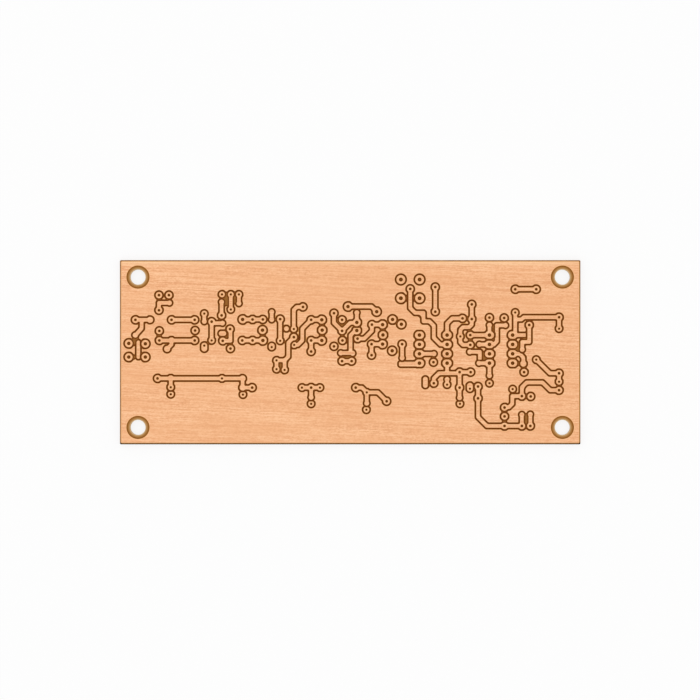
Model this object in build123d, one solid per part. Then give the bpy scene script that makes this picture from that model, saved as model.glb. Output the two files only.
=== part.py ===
from build123d import *
import math
import os

# A single-sided prototype circuit board: phenolic paper laminate with a copper foil on its top face.
# Narrow grooves are milled round every pad and trace, so the foil becomes a field and many islands.
# The origin is at the centre of the underside, +X runs along the board and +Z up through the foil.
# All sizes are in millimetres.

# Board
BOARD_LENGTH = 125.0
BOARD_WIDTH = 50.0
LAMINATE_THICKNESS = 1.5
FOIL_THICKNESS = 0.035
BARE_RIM = 0.3

# Mounting holes, one at each corner, each with a ring of bare laminate round it
MOUNT_HOLE_RADIUS = 2.05
MOUNT_RING_WIDTH = 1.05
MOUNT_INSET_X = 4.9
MOUNT_INSET_Y = 4.6

# Milled grooves, and what they leave
GROOVE_WIDTH = 0.45
TRACE_WIDTH = 1.0
SMALLEST_SLIVER_AREA = 0.45

# Pads, each with the radius of its copper and of the opening that starts its lead's hole.
# The openings are cut through the foil alone, and bare laminate closes them.
SMALL_PAD_RADIUS = 0.8
SMALL_OPENING_RADIUS = 0.3
STANDARD_PAD_RADIUS = 0.89
STANDARD_OPENING_RADIUS = 0.36
LARGE_PAD_RADIUS = 1.05
LARGE_OPENING_RADIUS = 0.46
SOCKET_PAD_RADIUS = 1.22
SOCKET_OPENING_RADIUS = 0.52
CHIP_PAD_LENGTH = 2.5
CHIP_PAD_RADIUS = 1.0
CHIP_OPENING_RADIUS = 0.48

# Blank shapes, which have no opening: a bump on a trace, and a small dot or bar on its own
BUMP_RADIUS = 0.82
NUB_RADIUS = 0.66

# Sides of the polygons that stand for the round pads and trace ends, the openings and the bare rings
PAD_SIDES = 8
OPENING_SIDES = 4
RING_SIDES = 10

# Corners that turn less than this, as the cross product of their two sides, count as straight on.
# Corners are put in order by places rounded to this many decimals.
LEAST_TURN = 1e-9
PLACE_DECIMALS = 6

# The layout is drawn on a grid of equal steps across the board, counted from its centre
GRID_COLUMNS = 1250
GRID_ROWS = 500
STEP_X = BOARD_LENGTH / GRID_COLUMNS
STEP_Y = BOARD_WIDTH / GRID_ROWS

# The two eight-pin chips: their pins' pitch, how far their middle is above the board's, and the rows
# of their pins on the grid
PIN_SPACING = 2.54
CHIP_MIDDLE = 0.85
PIN_1, PIN_2, PIN_3, PIN_4 = [(CHIP_MIDDLE + (1.5 - pin) * PIN_SPACING) / STEP_Y for pin in range(4)]

# The four corner pins of the socket: their centre on the grid, and how far out they are along each side
SOCKET_CENTRE = (163, 172)
SOCKET_REACH = 2.54
SOCKET_COLUMNS = SOCKET_REACH / STEP_X
SOCKET_ROWS = SOCKET_REACH / STEP_Y

# Kinds of pad, as copper radius and opening radius
SMALL = (SMALL_PAD_RADIUS, SMALL_OPENING_RADIUS)
STANDARD = (STANDARD_PAD_RADIUS, STANDARD_OPENING_RADIUS)
LARGE = (LARGE_PAD_RADIUS, LARGE_OPENING_RADIUS)
SOCKET = (SOCKET_PAD_RADIUS, SOCKET_OPENING_RADIUS)
BUMP = (BUMP_RADIUS, 0)
NUB = (NUB_RADIUS, 0)


# ---- Strokes: a shape of the layout is a list of (start, end, radius, opening radius) ----

def place(column, row):
    """The point of the board at a place on the layout's grid."""
    return Vector(column * STEP_X, row * STEP_Y)


def pad(column, row, kind=STANDARD):
    """A round pad."""
    radius, opening = kind
    return [(place(column, row), place(column, row), radius, opening)]


def trace(*points):
    """A run of copper of the common width through some grid points."""
    places = [place(*point) for point in points]
    return [(start, end, TRACE_WIDTH / 2, 0) for start, end in zip(places, places[1:])]


def long_pad(first, last, kind=SMALL):
    """A pad stretched from one grid point, where its opening is, to another."""
    radius, _ = kind
    return pad(*first, kind) + [(place(*first), place(*last), radius, 0)]


def chip_pad(column, row):
    """An oblong pad for one pin of a chip."""
    half_run = Vector(CHIP_PAD_LENGTH / 2 - CHIP_PAD_RADIUS, 0)
    middle = place(column, row)
    return [
        (middle - half_run, middle + half_run, CHIP_PAD_RADIUS, 0),
        (middle, middle, CHIP_PAD_RADIUS, CHIP_OPENING_RADIUS),
    ]


# ---- The layout ----

# Traces with their pads. A later trace stops at the groove of an earlier one that it meets.
TRACES = {
    # Left third
    "trace_left_01": pad(-519, 114) + trace((-489, 134), (-519, 134), (-519, 114)),
    "trace_left_02": pad(-583, 88) + pad(-543, 88, BUMP) + trace((-583, 88), (-543, 88))
    + trace((-566, 88), (-566, 65), (-584, 45)),
    "trace_left_03": pad(-485, 88) + pad(-422, 88) + trace((-485, 88), (-422, 88)),
    "trace_left_04": pad(-518, 32) + pad(-485, 32, BUMP) + pad(-422, 32) + pad(-497, 9, BUMP)
    + trace((-518, 32), (-422, 32)) + trace((-485, 32), (-485, 21), (-497, 9)),
    "trace_left_05": pad(-396, 105, SMALL) + trace((-396, 105), (-396, 82)),
    "trace_left_06": pad(-324, 157, SMALL) + pad(-324, 116, SMALL) + trace((-324, 157), (-324, 116)),
    "trace_left_07": pad(-302, 157, SMALL) + trace((-302, 157), (-302, 131)),
    "trace_left_08": pad(-349, 100) + trace((-349, 138), (-349, 100)),
    "trace_left_09": pad(-376, 83) + pad(-376, 32, SMALL) + trace((-376, 83), (-376, 32))
    + trace((-376, 79), (-345, 79)),
    "trace_left_10": pad(-326, 63) + pad(-346, 31) + trace((-325, 63), (-325, 31), (-346, 31)),
    "trace_left_11": pad(-292, 89, LARGE) + pad(-265, 89) + pad(-237, 89) + trace((-292, 89), (-237, 89)),
    "trace_left_12": pad(-293, 32) + pad(-265, 32) + pad(-237, 32, LARGE) + trace((-293, 32), (-237, 32)),
    "trace_left_13": pad(-523, -71) + pad(-487, -71, BUMP) + pad(-487, -95, SMALL) + pad(-348, -71, SMALL)
    + pad(-292, -71, BUMP) + pad(-292, -96, BUMP) + pad(-266, -96)
    + trace((-523, -71), (-292, -71), (-292, -96), (-266, -96)) + trace((-487, -71), (-487, -95)),
    # Middle third
    "trace_middle_01": pad(-190, 90) + pad(-190, 31, SMALL) + trace((-190, 90), (-190, 31)),
    "trace_middle_02": pad(-128, 123) + pad(-153, 63, SMALL)
    + trace((-128, 123), (-145, 123), (-153, 115), (-153, 63)),
    "trace_middle_03": pad(-153, 41) + pad(-200, -22, SMALL) + pad(-200, -46, SMALL) + pad(-178, -48, SMALL)
    + trace((-153, 41), (-168, 26), (-168, -12), (-178, -22), (-200, -22), (-200, -46))
    + trace((-178, -22), (-178, -48)),
    "trace_middle_04": pad(-152, 20, SMALL) + pad(-106, 88) + pad(-77, 88, LARGE)
    + trace((-152, 20), (-142, 20), (-130, 32), (-130, 64), (-106, 88), (-77, 88)),
    "trace_middle_05": pad(-106, 32) + pad(-77, 32, LARGE) + pad(-106, 2)
    + trace((-77, 32), (-106, 32), (-106, 2)),
    "trace_middle_06": pad(-6, 124, LARGE) + pad(72, 110, LARGE) + trace((-6, 124), (58, 124), (72, 110)),
    "trace_middle_07": pad(-44, 106) + pad(-22, 58) + pad(18, 81, LARGE)
    + trace((-44, 106), (-44, 80), (-22, 58), (0, 80), (18, 80), (18, 109)),
    "trace_middle_08": pad(18, 59, LARGE) + trace((18, 59), (14, 59), (1, 46), (1, -2))
    + trace((-27, -2), (8, -2)),
    "trace_middle_09": pad(-22, -24) + pad(4, -24) + trace((-22, -24), (4, -24)),
    "trace_middle_10": pad(20, 37) + pad(59, 75) + pad(88, 75, LARGE)
    + trace((20, 37), (38, 37), (59, 58), (59, 75), (88, 75)),
    "trace_middle_11": pad(58, 22) + pad(88, 22, LARGE) + pad(58, -8)
    + trace((88, 22), (58, 22), (58, -8)),
    "trace_middle_12": pad(141, 22) + trace((141, 22), (141, -17)),
    "trace_middle_13": pad(-131, -96, SMALL) + pad(-106, -96) + pad(-82, -96, SMALL)
    + trace((-131, -96), (-82, -96)) + trace((-106, -96), (-106, -124)),
    "trace_middle_14": pad(15, -96) + pad(45, -109, SMALL) + pad(99, -133)
    + trace((15, -96), (32, -96), (45, -109), (75, -109), (99, -133)) + trace((45, -109), (45, -140)),
    # Right third
    "trace_right_01": pad(*SOCKET_CENTRE) + chip_pad(263, PIN_2)
    + trace(SOCKET_CENTRE, (163, 120), (176, 107), (199, 107), (199, 84), (215, 84))
    + trace((215, 84), (227, 72), (227, PIN_2 + 18), (245, PIN_2), (263, PIN_2)),
    "trace_right_02": pad(231, 177) + pad(231, 110) + trace((231, 177), (231, 110)),
    "trace_right_03": pad(330, 130) + pad(330, 90) + pad(299, 43, SMALL) + pad(326, 20)
    + trace((330, 130), (330, 75), (323, 68), (306, 68), (299, 61), (299, 27), (306, 20), (326, 20)),
    "trace_right_04": pad(305, 92) + chip_pad(263, PIN_1)
    + trace((305, 92), (277, 92), (263, 78), (263, PIN_1)),
    "trace_right_05": chip_pad(188, PIN_3) + trace((188, PIN_3), (229, PIN_3)),
    "trace_right_06": chip_pad(188, PIN_4)
    + trace((188, PIN_4 - 1), (137, PIN_4 - 1), (137, PIN_4 - 4), (188, PIN_4 - 4)),
    "trace_right_07": pad(227, -84) + pad(297, -54) + pad(327, -54) + pad(297, -96)
    + chip_pad(263, PIN_4) + trace((227, -84), (227, -71), (241, -57), (297, -57))
    + trace((263, PIN_4), (263, -57)) + trace((327, -54), (297, -54), (297, -125)),
    "trace_right_08": pad(347, -93) + pad(347, -125) + pad(419, -200) + pad(466, -200)
    + trace((347, -93), (347, -176), (371, -200), (466, -200), (466, -168)),
    "trace_right_09": pad(489, -200) + trace((489, -200), (489, -167)),
    "trace_right_10": pad(419, -150) + pad(466, -119) + pad(567, -103)
    + trace((419, -149), (431, -149), (440, -140), (440, -119), (466, -119), (466, -95), (479, -82))
    + trace((479, -82), (522, -82), (543, -103), (567, -103)),
    "trace_right_11": pad(505, -20, SMALL) + pad(567, -57) + pad(567, -80, SMALL)
    + trace((505, -20), (542, -57), (567, -57), (567, -80)),
    "trace_right_12": pad(448, 171) + pad(505, 171) + trace((448, 171), (505, 171)),
    "trace_right_13": pad(486, 74) + trace((486, 74), (486, 28), (467, 28), (467, 6)),
    "trace_right_14": pad(448, 108, SMALL) + chip_pad(441, PIN_1) + pad(567, 95) + pad(567, 64, SMALL)
    + trace((448, 108), (448, PIN_1)) + trace((441, PIN_1), (474, PIN_1))
    + trace((448, 89), (465, 89), (471, 95), (567, 95), (567, 64)),
    "trace_right_15": pad(326, PIN_1) + chip_pad(378, PIN_1)
    + trace((326, PIN_1), (378, PIN_1), (378, 75)),
    "trace_right_16": chip_pad(378, PIN_2)
    + trace((349, PIN_2), (390, PIN_2), (398, PIN_2 + 8), (398, 73), (423, 73)),
    "trace_right_17": chip_pad(378, PIN_4) + trace((348, PIN_4), (378, PIN_4), (378, -65)),
    "trace_right_18": trace((323, 1), (352, 1), (352, -17)),
    "trace_right_19": chip_pad(441, PIN_3) + pad(470, -31, BUMP)
    + trace((441, PIN_3), (460, PIN_3), (470, PIN_3 - 10), (470, -31)),
}

# Single islands. Like islands share a node, each one a solid of its own.
SINGLES = {
    "small_pads": [pad(*point, SMALL) for point in [
        (-348, 157), (-487, -114), (-291, -115), (-106, -140),
        (44, -156), (298, -140), (378, -84), (441, -100),
    ]],
    "standard_pads": [pad(*point) for point in [
        (-519, 155), (-492, 155), (-518, 58), (-421, 59), (-325, 10), (-44, 16), (-22, 88),
        (-21, 32), (226, -27), (378, 94), (418, 93), (472, -54), (490, -120), (419, -174),
    ]],
    "large_pads": [pad(*point, LARGE) for point in [
        (-601, 24), (-556, 23), (-601, -13), (-556, -13), (-238, 60), (-76, 60),
        (89, 47), (115, 89), (139, 76), (114, 4),
    ]],
    "socket_pads": [
        pad(SOCKET_CENTRE[0] + side * SOCKET_COLUMNS, SOCKET_CENTRE[1] + end * SOCKET_ROWS, SOCKET)
        for side in (-1, 1) for end in (-1, 1)
    ],
    "chip_pads": [chip_pad(*point) for point in [
        (188, PIN_1), (188, PIN_2), (263, PIN_3), (378, PIN_3), (441, PIN_2), (441, PIN_4),
    ]],
    "oval_pads": [
        long_pad((-396, 18), (-396, 10)),
        long_pad((-213, 14), (-213, 17)),
        long_pad((325, -99), (325, -91)),
        pad(263, -88, SMALL) + trace((263, -88), (263, -72)),
    ],
    "blank_islands": [
        trace((-575, 27), (-575, -13)),
        long_pad((-350, 51), (-343, 51), NUB),
        trace((-213, 111), (-213, 87)),
        pad(-173, 64, NUB),
        long_pad((204, -73), (204, -90), NUB),
    ],
}

# Foil between close grooves that the cutter cleared, as (left, bottom, right, top) on the grid
CLEARED_PATCHES = [
    (-592, 17, -573, 43),
    (-587, -20, -584, -6),
    (-340, 125, -332, 150),
    (-318, 130, -311, 155),
    (-192, -50, -186, -26),
    (384, 50, 391, 70),
    (474, -195, 482, -165),
]


# ---- Flat shapes ----

def polygon_corners(centre, radius, sides):
    """The corners of a regular polygon whose flats touch a circle of the radius."""
    reach = radius / math.cos(math.pi / sides)
    turns = [math.tau * (side + 0.5) / sides for side in range(sides)]
    return [centre + Vector(reach * math.cos(turn), reach * math.sin(turn)) for turn in turns]


def half_hull(points):
    """One side of the convex outline of points that are in order."""
    chain = []
    for point in points:
        while len(chain) > 1 and (chain[-1] - chain[-2]).cross(point - chain[-1]).Z <= LEAST_TURN:
            chain.pop()
        chain.append(point)
    return chain[:-1]


def stroke_face(stroke, grow=0):
    """A pad, or a run of trace with its two ends, grown all round by a distance."""
    start, end, radius, _ = stroke
    points = polygon_corners(start, radius + grow, PAD_SIDES)
    points += polygon_corners(end, radius + grow, PAD_SIDES)
    points.sort(key=lambda point: (round(point.X, PLACE_DECIMALS), point.Y))
    return Polygon(*half_hull(points), *half_hull(points[::-1]), align=None)


def outline(strokes, grow=0):
    """The flat outline of an island, or of the island and its groove."""
    return Sketch() + [stroke_face(stroke, grow) for stroke in strokes]


def lead_openings(strokes):
    """The openings in an island's pads."""
    return [
        Polygon(*polygon_corners(start, opening, OPENING_SIDES), align=None)
        for start, _, _, opening in strokes if opening
    ]


def mount_centres():
    """The centres of the four mounting holes."""
    spacing_x = BOARD_LENGTH - 2 * MOUNT_INSET_X
    spacing_y = BOARD_WIDTH - 2 * MOUNT_INSET_Y
    return [spot.position for spot in GridLocations(spacing_x, spacing_y, 2, 2)]


def bare_ring(centre):
    """The patch that is cleared of foil round a mounting hole."""
    radius = MOUNT_HOLE_RADIUS + MOUNT_RING_WIDTH
    return Polygon(*polygon_corners(centre, radius, RING_SIDES), align=None)


def patch_face(left, bottom, right, top):
    """A rectangle between two grid corners."""
    low, high = place(left, bottom), place(right, top)
    middle = (low + high) / 2
    return Location((middle.X, middle.Y)) * Rectangle(high.X - low.X, high.Y - low.Y)


# ---- Solids ----

def make_laminate():
    """The board, with its mounting holes."""
    holes = [Pos(centre) * Circle(MOUNT_HOLE_RADIUS) for centre in mount_centres()]
    return extrude(Rectangle(BOARD_LENGTH, BOARD_WIDTH) - holes, LAMINATE_THICKNESS)


def foil(face):
    """A flat shape of foil, lying on the laminate."""
    return extrude(Pos(0, 0, LAMINATE_THICKNESS) * face, FOIL_THICKNESS)


def touches(first, second):
    """Whether the boxes round two flat shapes meet."""
    one, two = first.bounding_box(), second.bounding_box()
    return (one.min.X < two.max.X and two.min.X < one.max.X
            and one.min.Y < two.max.Y and two.min.Y < one.max.Y)


def island_face(strokes, grooved):
    """An island's copper: its outline, less the grooves of the islands before it and its openings."""
    face = outline(strokes)
    cuts = [grown for grown in grooved if touches(face, grown)] + lead_openings(strokes)
    return face - cuts if cuts else face


def field_faces(grooved):
    """The foil outside every groove: the field first, then the slivers that grooves cut off from it."""
    sheet = Rectangle(BOARD_LENGTH - 2 * BARE_RIM, BOARD_WIDTH - 2 * BARE_RIM)
    rings = [bare_ring(centre) for centre in mount_centres()]
    patches = [patch_face(*patch) for patch in CLEARED_PATCHES]
    faces = (sheet - (grooved + rings + patches)).faces()
    return sorted(faces, key=lambda face: face.area, reverse=True)


def build():
    """Every node of the board, by name."""
    nodes = {}
    grooved = []
    islands = {name: [strokes] for name, strokes in TRACES.items()} | SINGLES
    for name, members in islands.items():
        faces = []
        for strokes in members:
            faces.append(island_face(strokes, grooved))
            grooved.append(outline(strokes, GROOVE_WIDTH))
        nodes[name] = [foil(face) for face in faces]
    field, *slivers = field_faces(grooved)
    nodes["copper_field"] = [foil(field)]
    nodes["foil_slivers"] = [foil(face) for face in slivers if face.area > SMALLEST_SLIVER_AREA]
    nodes["laminate"] = [make_laminate()]
    return nodes


os.makedirs("parts", exist_ok=True)
for name, pieces in build().items():
    solids = [solid for piece in pieces for solid in piece.solids()]
    node = solids[0] if len(solids) == 1 else Compound(children=solids)
    export_step(node, f"parts/{name}.step")
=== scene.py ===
"""The looks of a milled prototype circuit board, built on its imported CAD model.

The CAD model gives every outline of foil as a polygon. This script rounds the corners, swells the blank ends
of the traces, mills the grooves, rings and lead marks into the laminate, and gives the copper and the
laminate their materials. All the pieces are raised from one flat mesh, the plan, so they meet exactly.
"""

import math

import bpy
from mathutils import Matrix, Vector
from mathutils.geometry import delaunay_2d_cdt
from mathutils.kdtree import KDTree


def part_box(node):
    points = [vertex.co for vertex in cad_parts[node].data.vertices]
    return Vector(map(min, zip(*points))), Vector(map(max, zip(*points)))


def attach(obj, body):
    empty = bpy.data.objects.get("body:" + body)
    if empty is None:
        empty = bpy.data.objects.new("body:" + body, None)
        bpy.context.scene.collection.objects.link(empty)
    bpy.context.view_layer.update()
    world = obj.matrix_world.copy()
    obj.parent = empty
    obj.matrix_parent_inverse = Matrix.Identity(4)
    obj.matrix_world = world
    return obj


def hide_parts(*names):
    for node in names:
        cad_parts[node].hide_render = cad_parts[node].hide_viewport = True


MM = 0.001

# The CAD nodes of the foil that is left round the islands. The swollen ends of traces may cut into it.
FIELD = ("copper_field", "foil_slivers")

# Reading the CAD model: the decimals of a place in mm, the least rise of the normal of an upward face, how
# far a corner may be from the top in metres, and how far a ring's middle may be from its hole's in mm
PLACE_DECIMALS = 4
UPWARD = 0.5
LEVEL_MATCH = 1e-7
RING_MATCH = 0.5

# Corners (mm): the arc of a corner between even edges starts at most WIDE_REACH from it, and that of any
# other corner at most EASED_REACH. A corner with hardly any room or turn stays as it is.
EVEN_EDGES = 0.03
WIDE_REACH = 1.1
EASED_REACH = 0.3
LEAST_REACH = 0.03
STRAIGHT = math.radians(2)

# Arcs: the most that one step turns, about how long it may be (mm), and the fewest steps. Points of an
# outline that are closer together than SAME_POINT (mm) are merged.
ARC_STEP = math.radians(12)
ARC_FACET = 0.26
LEAST_STEPS = 2
SAME_POINT = 0.004

# Blank ends of traces (mm): an end has three sides of an octagon, each BLANK_END from its middle, and swells
# to a round nub with a groove round it
BLANK_END = 0.5
END_MATCH = 0.01
NUB_RADIUS = 0.66
GROOVE_WIDTH = 0.45

# Milling (mm): the depth close to foil, the lesser depth in the middle of a wide place, and between which
# distances from foil the floor rises from one to the other
GROOVE_DEPTH = 0.12
WIDE_DEPTH = 0.05
MIDDLE_RISE = (0.25, 0.5)

# How far the upper edge of the laminate is worn down (mm)
EDGE_WEAR = 0.12

# Extra points in the foil (mm): a row this far in from each edge and this far apart, but only where the
# nearest edge isn't much closer than the row's own
HALO_WIDTH = 0.22
HALO_SPACING = 0.6
NEAR_FULL = 0.9

# Extra points along the middle of milled places and of narrow necks of foil, by how far such a point has to
# be from the edge of the foil (mm)
LEAST_MIDDLE = 0.1
NECK_REACH = (0.03, 0.3)

# The size of the squares in which only one extra point is kept (mm)
LEAST_GAP = 0.047

# The distance from foil: how close together the edges are sampled, and what is noted where the laminate
# isn't milled (mm)
BORDER_SAMPLE = 0.12
BEYOND = 1.0

# The triangulation: every triangle out to the convex hull, and points this close are one point (mm)
WHOLE_HULL = 0
CDT_EPSILON = 2e-4

# Colours of the copper as they look on screen: the streaks' three tones, broad warmer bands, a painted
# highlight and painted shade on the burr beside each cut, a painted highlight along the back edge and
# painted shade along the front edge
COPPER_DARK = (229, 165, 119)
COPPER = (243, 184, 138)
COPPER_LIGHT = (252, 200, 156)
COPPER_WARM = (240, 178, 130)
# Painted highlight beside each cut
COPPER_CUT_HIGHLIGHT = (252, 202, 156)
# Painted shade on the burr beside each cut
COPPER_BURR_SHADE = (208, 140, 30)
# Painted highlight along the back edge
COPPER_BACK_HIGHLIGHT = (255, 214, 168)
# Painted shade along the front edge
COPPER_FRONT_SHADE = (170, 112, 62)

# Where those lie: widths in mm, ranges of the noise, and how much of the colour shows at the most. The
# painted highlight beside each cut ends just short of the row of extra points.
TONE_STOPS = (0.4, 0.5, 0.6)
BAND_RANGE = (0.35, 0.65)
BAND_SHARE = 0.5
BURR_SHADE_WIDTH = 0.14
BURR_SHADE_SHARE = 0.95
CUT_HIGHLIGHT_WIDTH = HALO_WIDTH * 0.98
CUT_HIGHLIGHT_SHARE = 0.6
BACK_HIGHLIGHT_WIDTH = 1.5
BACK_HIGHLIGHT_SHARE = 0.7
COPPER_FRONT_SHADE_WIDTH = 0.35

# Noise, as features a metre, how many finer layers it has and how rough they are, and how many times closer
# together the features lie along each axis
DRIFT = (130, 2, 0.5, (1, 0.6, 1))
STREAKS = (1000, 2, 0.6, (0.36, 4.2, 1))
LINES = (1000, 1, 0.5, (0.05, 3.6, 1))
GRAIN = (1000, 1, 0.5, (1.9, 3.4, 1))
BANDS = (1000, 1, 0.5, (0.035, 0.2, 1))
MOTTLE = (900, 4, 0.65, (1, 1, 1))
LAYERS = (1000, 2, 0.5, (0.25, 0.25, 9))

# The scouring of the copper: how much its streaks, lines and grain count, how far they sway (mm) and slant,
# the roughness from dark streaks to light ones, and the bump as height (mm) and strength
SCOURING = (0.35, 0.35, 0.3)
STREAK_SWAY = 0.5
STREAK_SLANT = math.radians(2.5)
STREAK_RANGE = (0.3, 0.7)
COPPER_ROUGHNESS = (0.42, 0.3)
COPPER_BUMP = (0.02, 0.25)

# The laminate: its mottled brown, the darker layers at its sides, and painted shade on the worn upper edge
# at its front, of some width (mm)
LAMINATE_DARK = (150, 98, 46)
LAMINATE_LIGHT = (178, 128, 74)
LAMINATE_LAYER = (116, 74, 36)
# Painted shade on the worn upper front edge
LAMINATE_FRONT_SHADE = (52, 28, 2)
MOTTLE_RANGE = (0.3, 0.7)
LAYER_RANGE = (0.35, 0.65)
LAYER_SHARE = 0.4
LAMINATE_FRONT_SHADE_WIDTH = 0.6
LAMINATE_ROUGHNESS = 0.62
LAMINATE_SPECULAR = 0.12
LAMINATE_BUMP = (0.03, 0.4)

# Milled places by kind, each with its shades as (distance from the foil in mm, colour): the grooves, the
# openings of pads, and the rings round the mounting holes. They are darkest close to the foil: partly the
# freshly cut paper's own colour, partly painted shade in the recess. The mottle brings back some of the
# first shade.
MILLED = {
    "groove": [(0.0, (102, 44, 0)), (0.22, (124, 62, 0)), (0.36, (150, 94, 34)), (0.6, (168, 114, 56))],
    "lead": [(0.0, (100, 46, 0)), (0.3, (120, 64, 0)), (0.52, (136, 82, 22))],
    "ring": [(0.0, (134, 78, 18)), (0.27, (164, 106, 42)), (0.52, (176, 124, 66)), (0.77, (190, 147, 94)),
             (1.0, (222, 188, 140))],
}
MILLED_MOTTLE = 0.2

# The numbers of the sockets of Blender's Mix node when it mixes colours
MIX_SHARE = 0
MIX_FIRST = 6
MIX_SECOND = 7
MIX_RESULT = 2

# The studio: the world's strength as a light, how far the floor reaches and how far below the board it is
# (metres), its grey, its roughness and how much of it glows, and the lamps as name, place and size in
# metres, and power in watts
WORLD_LEVEL = 0.93
FLOOR_REACH = 3.0
FLOOR_DROP = 0.0001
FLOOR_SHADE = 0.95
FLOOR_ROUGHNESS = 0.9
FLOOR_GLOW = 0.82
LAMPS = [
    ("overhead", (-0.55, 0.5, 1.3), 0.9, 0.36),
    ("key", (-0.5, 1.3, 1.0), 1.6, 1.2),
]

# The camera: the width of the view at the board and the point under the camera (mm), the lens and its
# sensor (mm), and how near it can see (metres)
VIEW_WIDTH = 190.0
AIM = (-0.05, 0.61)
LENS = 200.0
SENSOR = 36.0
CLIP_START = 0.01


# ---- Outlines read from the CAD model ----

def place_key(x, y):
    """A place in mm, rounded so that equal places compare equal."""
    return round(x, PLACE_DECIMALS), round(y, PLACE_DECIMALS)


def face_edges(mesh, height):
    """The directed border edges of a mesh's upward faces at one height."""
    borders = set()
    for polygon in mesh.polygons:
        corners = [mesh.vertices[i].co for i in polygon.vertices]
        if polygon.normal.z < UPWARD or any(abs(co.z - height) > LEVEL_MATCH for co in corners):
            continue
        keys = [place_key(co.x / MM, co.y / MM) for co in corners]
        for edge in zip(keys, keys[1:] + keys[:1]):
            if edge[::-1] in borders:
                borders.remove(edge[::-1])
            else:
                borders.add(edge)
    return borders


def top_loops(node):
    """The closed outlines of a CAD node's top face, as lists of points in mm."""
    following = {}
    for start, end in sorted(face_edges(node.data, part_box(node.name)[1].z)):
        following.setdefault(start, []).append(end)
    loops = []
    while following:
        first = min(following)
        loop = [first]
        while True:
            ends = following[loop[-1]]
            step = ends.pop()
            if not ends:
                del following[loop[-1]]
            if step == first:
                break
            loop.append(step)
        loops.append([Vector(point) for point in loop])
    return loops


def loop_area(loop):
    """Twice the area inside a closed outline, below zero where the inside is on its right."""
    return sum(a.x * b.y - a.y * b.x for a, b in zip(loop, loop[1:] + loop[:1]))


def turned_left(loop):
    """The outline with its inside on the left."""
    return loop if loop_area(loop) > 0 else loop[::-1]


def middle(loop):
    """The middle of an outline's points."""
    return sum(loop, Vector((0, 0))) / len(loop)


# ---- Round outlines ----

def on_circle(centre, radius, angles):
    """The points of a circle at some angles."""
    return [centre + Vector((math.cos(angle), math.sin(angle))) * radius for angle in angles]


def circle(centre, radius):
    """A closed round outline."""
    steps = round(math.tau / ARC_STEP)
    return on_circle(centre, radius, [math.tau * step / steps for step in range(steps)])


def arc(corner, back, ahead, reach):
    """The arc that cuts a corner from a reach back along one side to as far along the other."""
    half = back.angle(ahead) / 2
    radius = reach * math.tan(half)
    centre = corner + (back + ahead).normalized() * (reach / math.cos(half))
    start = corner + back * reach - centre
    begin = math.atan2(start.y, start.x)
    side = 1 if back.x * ahead.y - back.y * ahead.x < 0 else -1
    turn = math.pi - 2 * half
    steps = max(LEAST_STEPS, math.ceil(turn / min(ARC_STEP, ARC_FACET / radius)))
    return on_circle(centre, radius, [begin + side * turn * step / steps for step in range(steps + 1)])


def cut_corner(before, corner, after):
    """The points that take a corner's place."""
    back = before - corner
    ahead = after - corner
    most = WIDE_REACH if abs(back.length - ahead.length) < EVEN_EDGES else EASED_REACH
    reach = min(back.length / 2, ahead.length / 2, most)
    if math.pi - back.angle(ahead) < STRAIGHT or reach < LEAST_REACH:
        return [corner]
    return arc(corner, back.normalized(), ahead.normalized(), reach)


def rounded(loop):
    """A closed outline with an arc in place of each corner."""
    points = []
    for before, corner, after in zip(loop[-1:] + loop[:-1], loop, loop[1:] + loop[:1]):
        fresh = cut_corner(before, corner, after)
        points += [p for p in fresh if not points or (p - points[-1]).length > SAME_POINT]
    while (points[0] - points[-1]).length <= SAME_POINT:
        points.pop()
    return points


def nub_centres(loop):
    """Where the nubs of an island go: one at each blank end of its traces."""
    found = []
    side = 2 * BLANK_END * math.tan(math.pi / 8)
    for index in range(len(loop)):
        a, b, c, d = [loop[index - 3 + step] for step in range(4)]
        edges = [b - a, c - b, d - c]
        evens = all(abs(edge.length - side) < END_MATCH for edge in edges)
        if evens and abs(edges[0].angle(edges[2]) - math.pi / 2) < STRAIGHT:
            out = Vector((edges[1].y, -edges[1].x)).normalized()
            found.append((b + c) / 2 - out * NUB_RADIUS)
    return found


# ---- The plan: one flat mesh of the whole board, split along every outline ----

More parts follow.
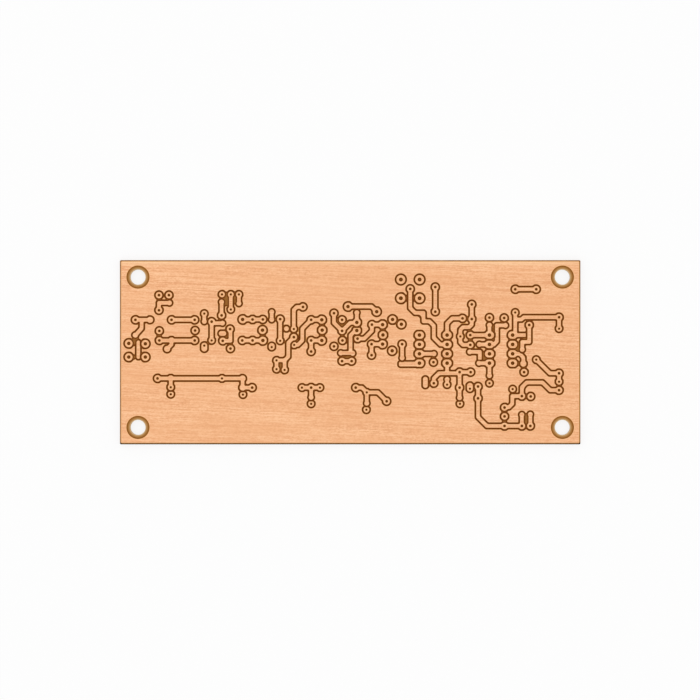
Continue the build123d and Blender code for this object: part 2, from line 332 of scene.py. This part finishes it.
class Plan:
    """The outlines of the board and the triangles between them, all in mm.

    Each outline has an owner: "rim" for the board's edge, "void" for a mounting hole, a kind of milled
    place, or the CAD node of a piece of foil.
    """

    def __init__(self, foil):
        self.foil = foil
        self.loops = []
        self.owners = []
        self.nubs = {}

    def add(self, loop, owner):
        """Adds an outline. Its inside belongs to the owner, unless another outline is inside it."""
        self.loops.append(turned_left(loop))
        self.owners.append(owner)
        return len(self.loops) - 1

    def add_nub(self, centre, owner):
        """Adds the swollen end of a trace, and the groove round it."""
        self.nubs[self.add(circle(centre, NUB_RADIUS), owner)] = owner
        self.nubs[self.add(circle(centre, NUB_RADIUS + GROOVE_WIDTH), "groove")] = "groove"

    def owner(self, found, areas):
        """The owner of a triangle inside some outlines: the innermost one's, unless a nub changes it."""
        plain = [index for index in found if index not in self.nubs]
        if not plain:
            return None
        inner = self.owners[min(plain, key=lambda index: abs(areas[index]))]
        nubs = {self.nubs[index] for index in found if index in self.nubs}
        islands = nubs - {"groove"}
        if inner in ("groove", *FIELD) and islands:
            return min(islands)
        return "groove" if inner in FIELD and nubs else inner

    def triangulate(self, extra):
        """Triangles between all the outlines that also use some more points, each with its owner."""
        points = []
        faces = []
        for loop in self.loops:
            faces.append(list(range(len(points), len(points) + len(loop))))
            points += loop
        made = delaunay_2d_cdt(points + extra, [], faces, WHOLE_HULL, CDT_EPSILON, True)
        corners, _, triangles, _, _, inside = made
        areas = [loop_area(loop) for loop in self.loops]
        owners = [self.owner(found, areas) for found in inside]
        return corners, [list(triangle) for triangle in triangles], owners

    def measure(self):
        """Finds every border of foil, and samples them all for finding distances."""
        self.points, triangles, owners = self.triangulate([])
        self.sides = {
            edge: owner for triangle, owner in zip(triangles, owners)
            for edge in zip(triangle, triangle[1:] + triangle[:1])
        }
        self.borders = [
            (self.points[a], self.points[b]) for (a, b), owner in self.sides.items()
            if owner in self.foil and self.sides.get((b, a)) not in self.foil
        ]
        samples = []
        for a, b in self.borders:
            steps = max(1, math.ceil((b - a).length / BORDER_SAMPLE))
            samples += [a.lerp(b, step / steps) for step in range(steps + 1)]
        self.tree = KDTree(len(samples))
        for index, point in enumerate(samples):
            self.tree.insert((point.x, point.y, 0), index)
        self.tree.balance()

    def distance(self, point):
        """How far a point is from the nearest border of foil."""
        return self.tree.find((point.x, point.y, 0))[2]

    def refine(self):
        """Makes the triangles again with the extra points, and sorts them by owner."""
        extra = middle_points(self) + halo_points(self)
        self.points, triangles, owners = self.triangulate(list(thinned(extra, LEAST_GAP).values()))
        self.owned = {}
        for triangle, owner in zip(triangles, owners):
            self.owned.setdefault(owner, []).append(triangle)

    def underside(self):
        """Triangles of the plain underside, which only needs the points of the rim and the holes."""
        plain = Plan(set())
        for loop, owner in zip(self.loops, self.owners):
            if owner in ("rim", "void"):
                plain.add(loop, owner)
        corners, triangles, owners = plain.triangulate([])
        places = {place_key(*point): index for index, point in enumerate(self.points)}
        indices = [places[place_key(*corner)] for corner in corners]
        return [[indices[i] for i in t] for t, owner in zip(triangles, owners) if owner == "rim"]


def thinned(points, size):
    """The first point in each square of a grid that has any, by the square."""
    found = {}
    for point in points:
        found.setdefault((round(point.x / size), round(point.y / size)), point)
    return found


def middle_points(plan):
    """Points along the middle of every groove, ring and opening, and of every narrow neck of foil."""
    found = []
    narrowest, widest = NECK_REACH
    for (a, b), owner in plan.sides.items():
        sides = {owner, plan.sides.get((b, a))}
        half_way = (plan.points[a] + plan.points[b]) / 2
        reach = plan.distance(half_way)
        milled = sides <= set(MILLED) and reach > LEAST_MIDDLE
        neck = sides <= plan.foil and narrowest < reach < widest
        if a < b and (milled or neck):
            found.append(half_way)
    return found


def halo_points(plan):
    """Points in the foil a little way in from its edges."""
    found = []
    for a, b in plan.borders:
        along = (b - a).normalized()
        inset = Vector((-along.y, along.x)) * HALO_WIDTH
        steps = math.ceil((b - a).length / HALO_SPACING)
        spots = [a.lerp(b, (step + 0.5) / steps) + inset for step in range(steps)]
        found += [spot for spot in spots if plan.distance(spot) > HALO_WIDTH * NEAR_FULL]
    squares = thinned(found, HALO_WIDTH)
    return [squares[square] for square in sorted(squares)]


def gap_kind(name, loop, holes):
    """Whether an outline of missing foil is an opening in a pad, a ring or a group of grooves."""
    if name != "copper_field":
        return "lead"
    near = min((middle(loop) - middle(hole)).length for hole in holes)
    return "ring" if near < RING_MATCH else "groove"


def read_plan(nodes):
    """Every outline of the board, from the CAD nodes."""
    plan = Plan(set(nodes) - {"laminate"})
    board, *holes = sorted(top_loops(nodes["laminate"]), key=lambda loop: -abs(loop_area(loop)))
    plan.add(rounded(board), "rim")
    for hole in holes:
        plan.add(rounded(hole), "void")
    for name in sorted(plan.foil):
        for loop in top_loops(nodes[name]):
            solid = loop_area(loop) > 0
            plan.add(rounded(loop), name if solid else gap_kind(name, loop, holes))
            if solid and name not in FIELD:
                for centre in nub_centres(loop):
                    plan.add_nub(centre, name)
    plan.measure()
    plan.refine()
    return plan


# ---- Solid pieces raised from the plan ----

def closed_edges(triangles):
    """The directed border edges of a patch of triangles."""
    edges = {edge for t in triangles for edge in zip(t, t[1:] + t[:1])}
    return sorted((a, b) for a, b in edges if (b, a) not in edges)


def finished(name, vertices, faces, **marks):
    """An object made of the faces, with some numbers for each vertex kept under their names."""
    mesh = bpy.data.meshes.new(name)
    mesh.from_pydata([Vector(vertex) * MM for vertex in vertices], [], faces)
    for mark, values in marks.items():
        mesh.attributes.new(mark, "FLOAT", "POINT").data.foreach_set("value", values)
    mesh.validate()
    piece = bpy.data.objects.new(name, mesh)
    bpy.context.scene.collection.objects.link(piece)
    return piece


def foil_piece(node, plan, low, high):
    """A CAD node's foil between two heights."""
    triangles = plan.owned[node]
    used = sorted({index for triangle in triangles for index in triangle})
    place = {index: count for count, index in enumerate(used)}
    above = len(used)
    flat = [[place[index] for index in triangle] for triangle in triangles]
    top = [[index + above for index in triangle] for triangle in flat]
    bottom = [triangle[::-1] for triangle in flat]
    walls = [[a, b, b + above, a + above] for a, b in closed_edges(flat)]
    vertices = [(*plan.points[i], height) for height in (low, high) for i in used]
    border = [plan.distance(plan.points[i]) for i in used] * 2
    return finished("foil_" + node, vertices, bottom + top + walls, border=border)


def smoothstep(low, high, value):
    """0 below low, 1 above high, and an easy rise between them."""
    share = min(1, max(0, (value - low) / (high - low)))
    return share * share * (3 - 2 * share)


def floor_depth(distance):
    """How deep the cutter went at a distance from the foil."""
    return GROOVE_DEPTH - (GROOVE_DEPTH - WIDE_DEPTH) * smoothstep(*MIDDLE_RISE, distance)


class Laminate:
    """The mesh of the laminate, with a vertex for each level that a point of the plan needs.

    The levels are "under" for the underside, "face" for the plain top, and the kinds of milled places.
    """

    def __init__(self, plan, thickness):
        self.plan = plan
        self.thickness = thickness
        self.place = {}
        self.vertices = []
        self.border = []
        self.levels = []
        self.faces = []
        self.worn = set()

    def height(self, index, level):
        """The height of a point of the plan at a level."""
        if level == "under":
            return 0
        if level in MILLED:
            return self.thickness - floor_depth(self.plan.distance(self.plan.points[index]))
        return self.thickness - (EDGE_WEAR if index in self.worn else 0)

    def vertex(self, index, level):
        """The vertex of a point of the plan at a level."""
        if (index, level) not in self.place:
            point = self.plan.points[index]
            self.place[index, level] = len(self.vertices)
            self.vertices.append((*point, self.height(index, level)))
            self.border.append(self.plan.distance(point) if level in MILLED else BEYOND)
            self.levels.append(level)
        return self.place[index, level]

    def wall(self, a, b, low, high):
        """The wall over one edge, which faces to the right of the way from a to b."""
        ends = [(a, low), (b, low), (b, high), (a, high)]
        self.faces.append([self.vertex(*end) for end in ends])

    def build(self, parts):
        """Fills in the mesh from the triangles of each milled kind and of the plain face."""
        edges = {edge: level for level, triangles in parts.items() for edge in closed_edges(triangles)}
        outside = [edge for edge, level in edges.items() if level == "face" and edge[::-1] not in edges]
        self.worn = {index for edge in outside for index in edge}
        for level, triangles in parts.items():
            self.faces += [[self.vertex(index, level) for index in t] for t in triangles]
        for t in self.plan.underside():
            self.faces.append([self.vertex(index, "under") for index in t[::-1]])
        for (a, b), level in edges.items():
            beside = edges.get((b, a))
            if beside is None:
                self.wall(a, b, "under", level)
            elif level == "face":
                self.wall(a, b, beside, "face")


def laminate_piece(plan, thickness):
    """The laminate, plain under the foil and milled everywhere else but along its rim."""
    parts = {kind: plan.owned[kind] for kind in MILLED}
    parts["face"] = plan.owned["rim"] + [t for name in sorted(plan.foil) for t in plan.owned[name]]
    laminate = Laminate(plan, thickness)
    laminate.build(parts)
    kinds = {kind: [level == kind for level in laminate.levels] for kind in MILLED}
    return finished("board_laminate", laminate.vertices, laminate.faces, border=laminate.border, **kinds)


# ---- Materials ----

def colour(shade):
    """A shade as it looks on screen, 0 to 255, turned by the sRGB formula into what the shader wants."""
    shares = [value / 255 for value in shade]
    return (*[s / 12.92 if s <= 0.04045 else ((s + 0.055) / 1.055) ** 2.4 for s in shares], 1)


class Shader:
    """A material under construction."""

    def __init__(self, name, metallic=0.0):
        self.material = bpy.data.materials.new(name)
        self.material.use_nodes = True
        self.tree = self.material.node_tree
        self.base = self.tree.nodes["Principled BSDF"]
        self.base.inputs["Metallic"].default_value = metallic
        self.coords = self.add("ShaderNodeTexCoord").outputs["Object"]

    def add(self, kind, **settings):
        """A new node."""
        node = self.tree.nodes.new(kind)
        for key, value in settings.items():
            setattr(node, key, value)
        return node

    def join(self, value, socket):
        """Feeds an input, from an output or with a plain number or colour."""
        if hasattr(value, "is_output"):
            self.tree.links.new(value, socket)
        else:
            socket.default_value = value

    def math(self, operation, first, second):
        """Simple sums on one value."""
        node = self.add("ShaderNodeMath", operation=operation)
        self.join(first, node.inputs[0])
        self.join(second, node.inputs[1])
        return node.outputs["Value"]

    def total(self, values, shares):
        """Several values added up, each counted by its share."""
        parts = [self.math("MULTIPLY", value, share) for value, share in zip(values, shares)]
        total = parts[0]
        for part in parts[1:]:
            total = self.math("ADD", total, part)
        return total

    def noise(self, kind, coords=None):
        """One of the kinds of noise that are listed above."""
        scale, detail, rough, stretch = kind
        mapping = self.add("ShaderNodeMapping")
        self.join(stretch, mapping.inputs["Scale"])
        self.join(coords or self.coords, mapping.inputs["Vector"])
        node = self.add("ShaderNodeTexNoise")
        self.join(scale, node.inputs["Scale"])
        self.join(detail, node.inputs["Detail"])
        self.join(rough, node.inputs["Roughness"])
        self.join(mapping.outputs["Vector"], node.inputs["Vector"])
        return node.outputs["Fac"]

    def ramp(self, value, stops):
        """Shades along a value, as (position, shade) stops."""
        node = self.add("ShaderNodeValToRGB")
        elements = node.color_ramp.elements
        while len(elements) < len(stops):
            elements.new(1)
        for element, (position, shade) in zip(elements, stops):
            element.position = position
            element.color = colour(shade)
        self.join(value, node.inputs["Fac"])
        return node.outputs["Color"]

    def range(self, value, before, after):
        """A value moved from the range that it had before to another."""
        node = self.add("ShaderNodeMapRange")
        for name, number in zip(("From Min", "From Max", "To Min", "To Max"), (*before, *after)):
            self.join(number, node.inputs[name])
        self.join(value, node.inputs["Value"])
        return node.outputs["Result"]

    def mix(self, share, first, second):
        """The first colour, with a share of the second over it."""
        node = self.add("ShaderNodeMix", data_type="RGBA")
        self.join(share, node.inputs[MIX_SHARE])
        self.join(first, node.inputs[MIX_FIRST])
        self.join(second, node.inputs[MIX_SECOND])
        return node.outputs[MIX_RESULT]

    def axis(self, name):
        """The place along an axis, in metres."""
        node = self.add("ShaderNodeSeparateXYZ")
        self.join(self.coords, node.inputs["Vector"])
        return node.outputs[name]

    def mark(self, name):
        """A number that the mesh keeps for each vertex."""
        return self.add("ShaderNodeAttribute", attribute_name=name).outputs["Fac"]

    def bump(self, relief, height, strength):
        """Raises the surface where the relief is high, by a height in mm."""
        node = self.add("ShaderNodeBump")
        self.join(height * MM, node.inputs["Distance"])
        self.join(strength, node.inputs["Strength"])
        self.join(relief, node.inputs["Height"])
        self.join(node.outputs["Normal"], self.base.inputs["Normal"])


def scoured_coords(shader):
    """Coordinates that lie along the scouring, which sways and slants a little."""
    sway = shader.add("ShaderNodeVectorMath", operation="MULTIPLY_ADD")
    shader.join(shader.noise(DRIFT), sway.inputs[0])
    shader.join((0, STREAK_SWAY * MM, 0), sway.inputs[1])
    shader.join(shader.coords, sway.inputs[2])
    turned = shader.add("ShaderNodeMapping")
    shader.join((0, 0, STREAK_SLANT), turned.inputs["Rotation"])
    shader.join(sway.outputs["Vector"], turned.inputs["Vector"])
    return turned.outputs["Vector"]


def copper_material(reach):
    """Bare copper, scoured along the board, with a painted highlight and painted shade beside each cut,
    painted shade along the front and a painted highlight along the back.
    """
    shader = Shader("brushed_copper", metallic=1.0)
    coords = scoured_coords(shader)
    streaks, lines, grain = [shader.noise(kind, coords) for kind in (STREAKS, LINES, GRAIN)]
    relief = shader.total((streaks, lines, grain), SCOURING)
    border = shader.mark("border")
    across = shader.axis("Y")
    skin = shader.ramp(relief, list(zip(TONE_STOPS, (COPPER_DARK, COPPER, COPPER_LIGHT))))
    for value, where, shares, shade in [
        # Painted highlight along the back edge
        (across, (reach - BACK_HIGHLIGHT_WIDTH * MM, reach), (0, BACK_HIGHLIGHT_SHARE), COPPER_BACK_HIGHLIGHT),
        # Painted shade along the front edge
        (across, (-reach, COPPER_FRONT_SHADE_WIDTH * MM - reach), (1, 0), COPPER_FRONT_SHADE),
        (shader.noise(BANDS, coords), BAND_RANGE, (0, BAND_SHARE), COPPER_WARM),
        # Painted highlight beside each cut
        (border, (BURR_SHADE_WIDTH, CUT_HIGHLIGHT_WIDTH), (CUT_HIGHLIGHT_SHARE, 0), COPPER_CUT_HIGHLIGHT),
        # Painted shade on the burr beside each cut
        (border, (0, BURR_SHADE_WIDTH), (BURR_SHADE_SHARE, 0), COPPER_BURR_SHADE),
    ]:
        skin = shader.mix(shader.range(value, where, shares), skin, colour(shade))
    shader.join(skin, shader.base.inputs["Base Color"])
    shader.join(shader.range(streaks, STREAK_RANGE, COPPER_ROUGHNESS), shader.base.inputs["Roughness"])
    shader.bump(relief, *COPPER_BUMP)
    return shader.material


def front_edge_shade(shader, corner):
    """How far a place belongs to the painted shade on the worn upper edge at the front of the laminate."""
    width = LAMINATE_FRONT_SHADE_WIDTH * MM
    wear = EDGE_WEAR * MM
    front = shader.range(shader.axis("Y"), (width / 2 - corner.y, width - corner.y), (1, 0))
    high = shader.range(shader.axis("Z"), (corner.z - wear * 2, corner.z - wear), (0, 1))
    return shader.math("MULTIPLY", front, high)


def laminate_material(corner):
    """Brown phenolic paper, layered at the sides, darker where it was milled (its cut colour, with painted
    shade towards the foil), and with painted shade at its front edge.
    """
    shader = Shader("phenolic_paper")
    border = shader.mark("border")
    mottle = shader.noise(MOTTLE)
    fibres = shader.range(mottle, MOTTLE_RANGE, (0, MILLED_MOTTLE))
    layers = shader.range(shader.noise(LAYERS), LAYER_RANGE, (0, LAYER_SHARE))
    skin = shader.ramp(mottle, list(zip(MOTTLE_RANGE, (LAMINATE_DARK, LAMINATE_LIGHT))))
    skin = shader.mix(layers, skin, colour(LAMINATE_LAYER))
    # Painted shade on the worn upper edge at the front
    skin = shader.mix(front_edge_shade(shader, corner), skin, colour(LAMINATE_FRONT_SHADE))
    # Milled places: the cut paper's own darker colour, and painted shade that deepens towards the foil
    for kind, shades in MILLED.items():
        cut_and_shade = shader.mix(fibres, shader.ramp(border, shades), colour(shades[0][1]))
        skin = shader.mix(shader.mark(kind), skin, cut_and_shade)
    shader.join(skin, shader.base.inputs["Base Color"])
    shader.join(LAMINATE_ROUGHNESS, shader.base.inputs["Roughness"])
    shader.join(LAMINATE_SPECULAR, shader.base.inputs["Specular IOR Level"])
    shader.bump(mottle, *LAMINATE_BUMP)
    return shader.material


# ---- The board ----

def finish_piece(piece, material, node):
    """Gives a piece its material, and puts it in its CAD node's place."""
    piece.data.materials.append(material)
    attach(piece, "root")
    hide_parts(node)


def build_board(nodes):
    """Replaces the CAD nodes with pieces that have round corners, milled places and a worn edge."""
    plan = read_plan(nodes)
    low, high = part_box("copper_field")
    copper = copper_material(high.y)
    for name in sorted(plan.foil):
        finish_piece(foil_piece(name, plan, low.z / MM, high.z / MM), copper, name)
    paper = laminate_material(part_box("laminate")[1])
    finish_piece(laminate_piece(plan, low.z / MM), paper, "laminate")


# ---- Studio ----

def seen_rays(tree):
    """A value of 1 for rays that come from the camera, off something glossy or through glass."""
    path = tree.nodes.new("ShaderNodeLightPath")
    seen = path.outputs["Is Camera Ray"]
    for kind in ("Is Glossy Ray", "Is Transmission Ray"):
        either = tree.nodes.new("ShaderNodeMath")
        either.operation = "MAXIMUM"
        tree.links.new(seen, either.inputs[0])
        tree.links.new(path.outputs[kind], either.inputs[1])
        seen = either.outputs[0]
    return seen


def floor_material():
    """Pale paint that also glows towards the camera and in reflections, so that it looks white."""
    shader = Shader("pale_floor")
    shader.join((FLOOR_SHADE, FLOOR_SHADE, FLOOR_SHADE, 1), shader.base.inputs["Base Color"])
    shader.join(FLOOR_ROUGHNESS, shader.base.inputs["Roughness"])
    glow = shader.add("ShaderNodeEmission")
    both = shader.add("ShaderNodeMixShader")
    shader.join(shader.math("MULTIPLY", seen_rays(shader.tree), FLOOR_GLOW), both.inputs["Fac"])
    shader.join(shader.base.outputs["BSDF"], both.inputs[1])
    shader.join(glow.outputs["Emission"], both.inputs[2])
    shader.join(both.outputs["Shader"], shader.tree.nodes["Material Output"].inputs["Surface"])
    return shader.material


def make_floor():
    """A pale floor, which keeps the shadow of the board."""
    corners = [(x * FLOOR_REACH, y * FLOOR_REACH, 0) for x, y in ((-1, -1), (1, -1), (1, 1), (-1, 1))]
    mesh = bpy.data.meshes.new("floor")
    mesh.from_pydata(corners, [], [(0, 1, 2, 3)])
    mesh.materials.append(floor_material())
    floor = bpy.data.objects.new("floor", mesh)
    floor.location.z = -FLOOR_DROP
    bpy.context.scene.collection.objects.link(floor)


def area_light(name, place, size, power):
    """A soft lamp that points at the board."""
    lamp = bpy.data.lights.new(name, "AREA")
    lamp.size = size
    lamp.energy = power
    holder = bpy.data.objects.new(name, lamp)
    holder.location = place
    holder.rotation_euler = (-Vector(place)).to_track_quat("-Z", "Y").to_euler()
    bpy.context.scene.collection.objects.link(holder)


def make_studio():
    """The lamps, and a world that lights at its level and looks white."""
    world = bpy.data.worlds.new("studio")
    world.use_nodes = True
    tree = world.node_tree
    background = tree.nodes["Background"]
    background.inputs["Color"].default_value = (1, 1, 1, 1)
    level = tree.nodes.new("ShaderNodeMapRange")
    level.inputs["To Min"].default_value = WORLD_LEVEL
    tree.links.new(seen_rays(tree), level.inputs["Value"])
    tree.links.new(level.outputs["Result"], background.inputs["Strength"])
    bpy.context.scene.world = world
    for lamp in LAMPS:
        area_light(*lamp)


def make_camera():
    """The camera, which looks straight down on the board."""
    camera = bpy.data.objects.new("camera", bpy.data.cameras.new("camera"))
    camera.data.lens = LENS
    camera.data.sensor_width = SENSOR
    camera.data.clip_start = CLIP_START
    distance = VIEW_WIDTH * MM / 2 / (SENSOR / 2 / LENS)
    aim = Vector((AIM[0] * MM, AIM[1] * MM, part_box("copper_field")[1].z))
    camera.location = aim + Vector((0, 0, distance))
    bpy.context.scene.collection.objects.link(camera)
    bpy.context.scene.camera = camera


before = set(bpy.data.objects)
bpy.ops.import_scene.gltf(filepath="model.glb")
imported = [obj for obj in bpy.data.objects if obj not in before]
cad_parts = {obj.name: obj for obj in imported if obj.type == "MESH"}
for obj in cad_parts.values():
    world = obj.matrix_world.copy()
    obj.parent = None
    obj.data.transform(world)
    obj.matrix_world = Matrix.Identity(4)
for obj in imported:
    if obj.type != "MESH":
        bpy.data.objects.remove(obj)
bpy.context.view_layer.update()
build_board(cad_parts)
make_floor()
make_studio()
make_camera()
bpy.context.scene.view_settings.view_transform = "Standard"
